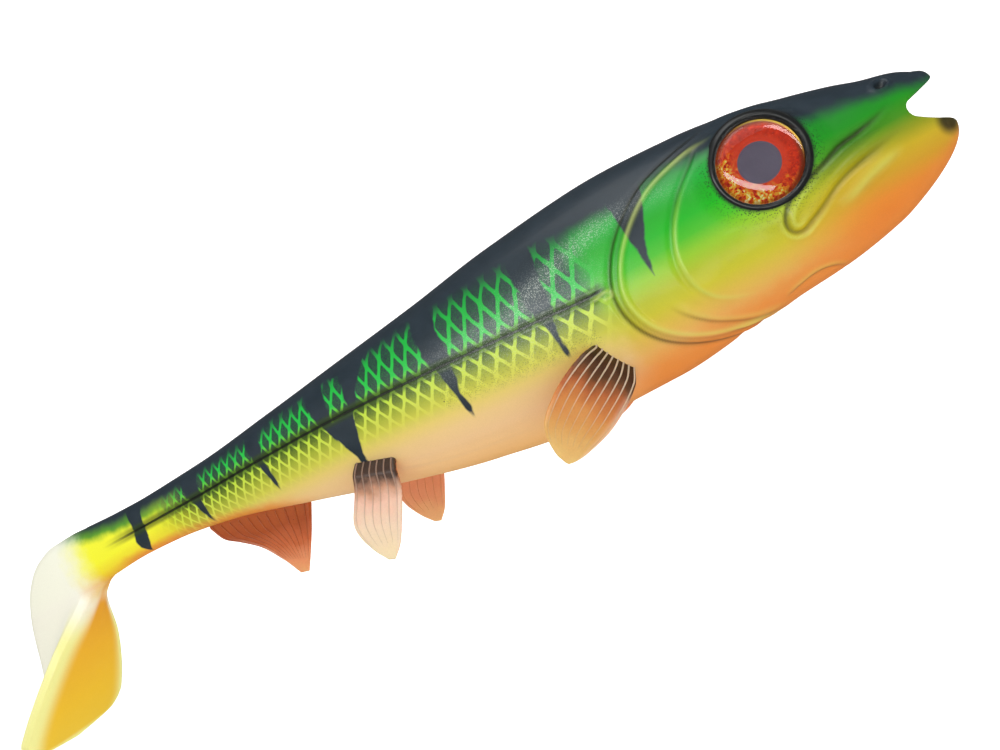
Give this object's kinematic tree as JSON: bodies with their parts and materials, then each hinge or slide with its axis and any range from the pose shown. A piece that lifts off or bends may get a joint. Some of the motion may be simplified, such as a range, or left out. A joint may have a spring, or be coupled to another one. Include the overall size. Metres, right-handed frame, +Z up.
{
  "type": "soft plastic swimbait",
  "caption": "Fish-shaped soft plastic swimbait that bends along its body, with a swept paddle tail, flexible fins and set-in domed eyes.",
  "frame": {"origin": "corner of the mouth on the middle plane, where the screw of a nose rig is turned in", "axes": "+X along the fish to its nose, +Y to the fish's own left, +Z up through its back"},
  "size_m": [0.2494, 0.0434, 0.053],
  "materials": {
    "head_plastic": "satin soft plastic, painted",
    "body_plastic": "satin soft plastic, painted",
    "tail_plastic": "satin soft plastic, painted",
    "fin_plastic": "thin translucent soft plastic",
    "eye_adhesive": "foam",
    "eye_foil": "printed flake foil",
    "eye_lens": "clear polished dome"
  },
  "bodies": {
    "front": {"front_body": "head_plastic", "eye_pad_right": "eye_adhesive", "eye_pad_left": "eye_adhesive", "eye_foil_right": "eye_foil", "eye_foil_left": "eye_foil", "eye_lens_right": "eye_lens", "eye_lens_left": "eye_lens"},
    "middle": {"mid_body": "body_plastic"},
    "rear": {"rear_body": "body_plastic"},
    "stem": {"tail_stem": "body_plastic"},
    "web": {"tail_web": "tail_plastic"},
    "paddle": {"tail_paddle": "tail_plastic"},
    "pectoral_right": {"pectoral_fin_right": "fin_plastic"},
    "pectoral_left": {"pectoral_fin_left": "fin_plastic"},
    "pelvic_right": {"pelvic_fin_right": "fin_plastic"},
    "pelvic_left": {"pelvic_fin_left": "fin_plastic"},
    "anal": {"anal_fin": "fin_plastic"}
  },
  "joints": [
    {"name": "body_flex", "type": "hinge", "parent": "front", "child": "middle", "pos_m": [-0.088, 0, 0], "axis": [0, 0, 1], "range_deg": [-10, 10], "stiffness_Nm_per_rad": 0.5},
    {"name": "rear_flex", "type": "hinge", "parent": "middle", "child": "rear", "pos_m": [-0.132, 0, 0], "axis": [0, 0, 1], "range_deg": [-12, 12], "stiffness_Nm_per_rad": 0.2},
    {"name": "tail_flex", "type": "hinge", "parent": "rear", "child": "stem", "pos_m": [-0.178, 0, 0], "axis": [0, 0, 1], "range_deg": [-16, 16], "stiffness_Nm_per_rad": 0.05},
    {"name": "tail_kick", "type": "hinge", "parent": "stem", "child": "web", "pos_m": [-0.197, 0, 0], "axis": [0, 0, 1], "range_deg": [-45, 45], "stiffness_Nm_per_rad": 0.03},
    {"name": "paddle_trail", "type": "hinge", "parent": "web", "child": "paddle", "pos_m": [-0.2125, 0, -0.0038], "axis": [0, 1, 0], "range_deg": [-10, 20], "stiffness_Nm_per_rad": 0.03},
    {"name": "pectoral_right_flex", "type": "hinge", "parent": "front", "child": "pectoral_right", "pos_m": [-0.06911, -0.01665, -0.0109], "axis": [-0.4232, -0.4283, 0.7984], "range_deg": [-10, 35], "stiffness_Nm_per_rad": 0.002},
    {"name": "pectoral_left_flex", "type": "hinge", "parent": "front", "child": "pectoral_left", "pos_m": [-0.06911, 0.01665, -0.0109], "axis": [0.4232, -0.4283, -0.7984], "range_deg": [-10, 35], "stiffness_Nm_per_rad": 0.002},
    {"name": "pelvic_right_flex", "type": "hinge", "parent": "middle", "child": "pelvic_right", "pos_m": [-0.12635, -0.01142, -0.00673], "axis": [-0.952, 0.0726, 0.2975], "range_deg": [-10, 35], "stiffness_Nm_per_rad": 0.002},
    {"name": "pelvic_left_flex", "type": "hinge", "parent": "middle", "child": "pelvic_left", "pos_m": [-0.12635, 0.01142, -0.00673], "axis": [0.952, 0.0726, -0.2975], "range_deg": [-10, 35], "stiffness_Nm_per_rad": 0.002},
    {"name": "anal_flex", "type": "hinge", "parent": "rear", "child": "anal", "pos_m": [-0.1465, 0, -0.0092], "axis": [-0.9734, 0, 0.2291], "range_deg": [-30, 30], "stiffness_Nm_per_rad": 0.002}
  ],
  "couplings": [
    {"joint": "rear_flex", "follows": "body_flex", "ratio": 1.2},
    {"joint": "tail_flex", "follows": "body_flex", "ratio": 1.6}
  ]
}
